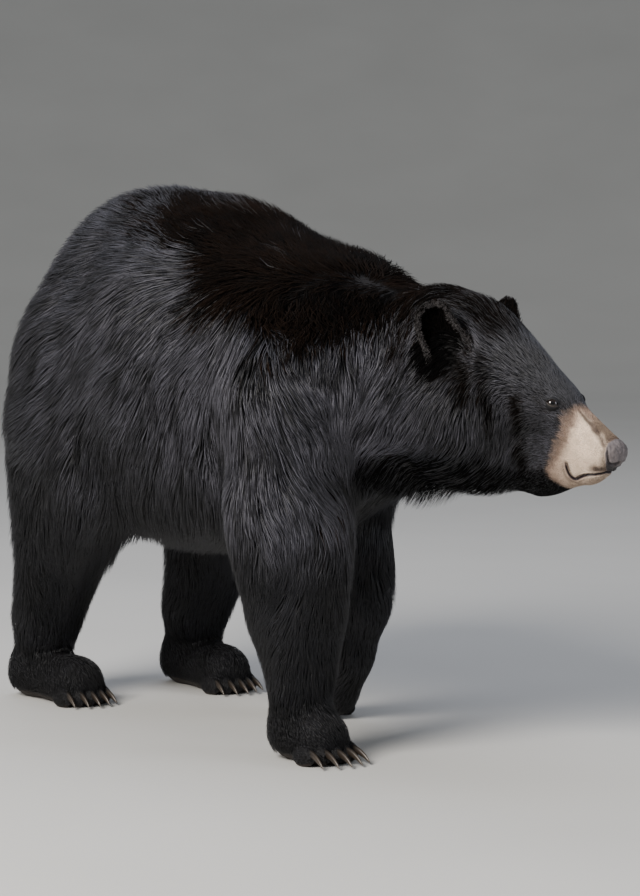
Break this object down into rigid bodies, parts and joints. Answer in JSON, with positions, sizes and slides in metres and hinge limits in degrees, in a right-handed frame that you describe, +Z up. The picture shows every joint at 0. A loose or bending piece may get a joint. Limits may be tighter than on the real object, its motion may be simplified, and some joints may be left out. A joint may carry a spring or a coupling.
{
  "type": "black bear figure",
  "caption": "Life-size American black bear, standing with its head low and turned a little to its left, with a tan muzzle, rounded ears and a thick black coat.",
  "frame": {"origin": "centre of the bounding box on the floor, under the belly", "axes": "+X towards the head, +Y to the animal's left, +Z up"},
  "size_m": [1.385, 0.5484, 0.9068],
  "materials": {
    "fur_black": "thick black fur with a dull sheen",
    "fur_tan": "short tan fur",
    "nose_leather": "moist, pebbled skin",
    "eye": "glossy dark brown",
    "claw_horn": "smooth dark horn"
  },
  "bodies": {
    "root": {"torso": "fur_black", "neck": "fur_black", "tail": "fur_black", "eye_right": "eye", "ear_right": "fur_black", "eye_left": "eye", "ear_left": "fur_black", "head": "fur_black", "muzzle": "fur_tan", "nose": "nose_leather", "leg_front_right": "fur_black", "paw_front_right": "fur_black", "claw_front_right_1": "claw_horn", "claw_front_right_2": "claw_horn", "claw_front_right_3": "claw_horn", "claw_front_right_4": "claw_horn", "claw_front_right_5": "claw_horn", "leg_front_left": "fur_black", "paw_front_left": "fur_black", "claw_front_left_1": "claw_horn", "claw_front_left_2": "claw_horn", "claw_front_left_3": "claw_horn", "claw_front_left_4": "claw_horn", "claw_front_left_5": "claw_horn", "leg_hind_right": "fur_black", "paw_hind_right": "fur_black", "claw_hind_right_1": "claw_horn", "claw_hind_right_2": "claw_horn", "claw_hind_right_3": "claw_horn", "claw_hind_right_4": "claw_horn", "claw_hind_right_5": "claw_horn", "leg_hind_left": "fur_black", "paw_hind_left": "fur_black", "claw_hind_left_1": "claw_horn", "claw_hind_left_2": "claw_horn", "claw_hind_left_3": "claw_horn", "claw_hind_left_4": "claw_horn", "claw_hind_left_5": "claw_horn"}
  },
  "joints": []
}
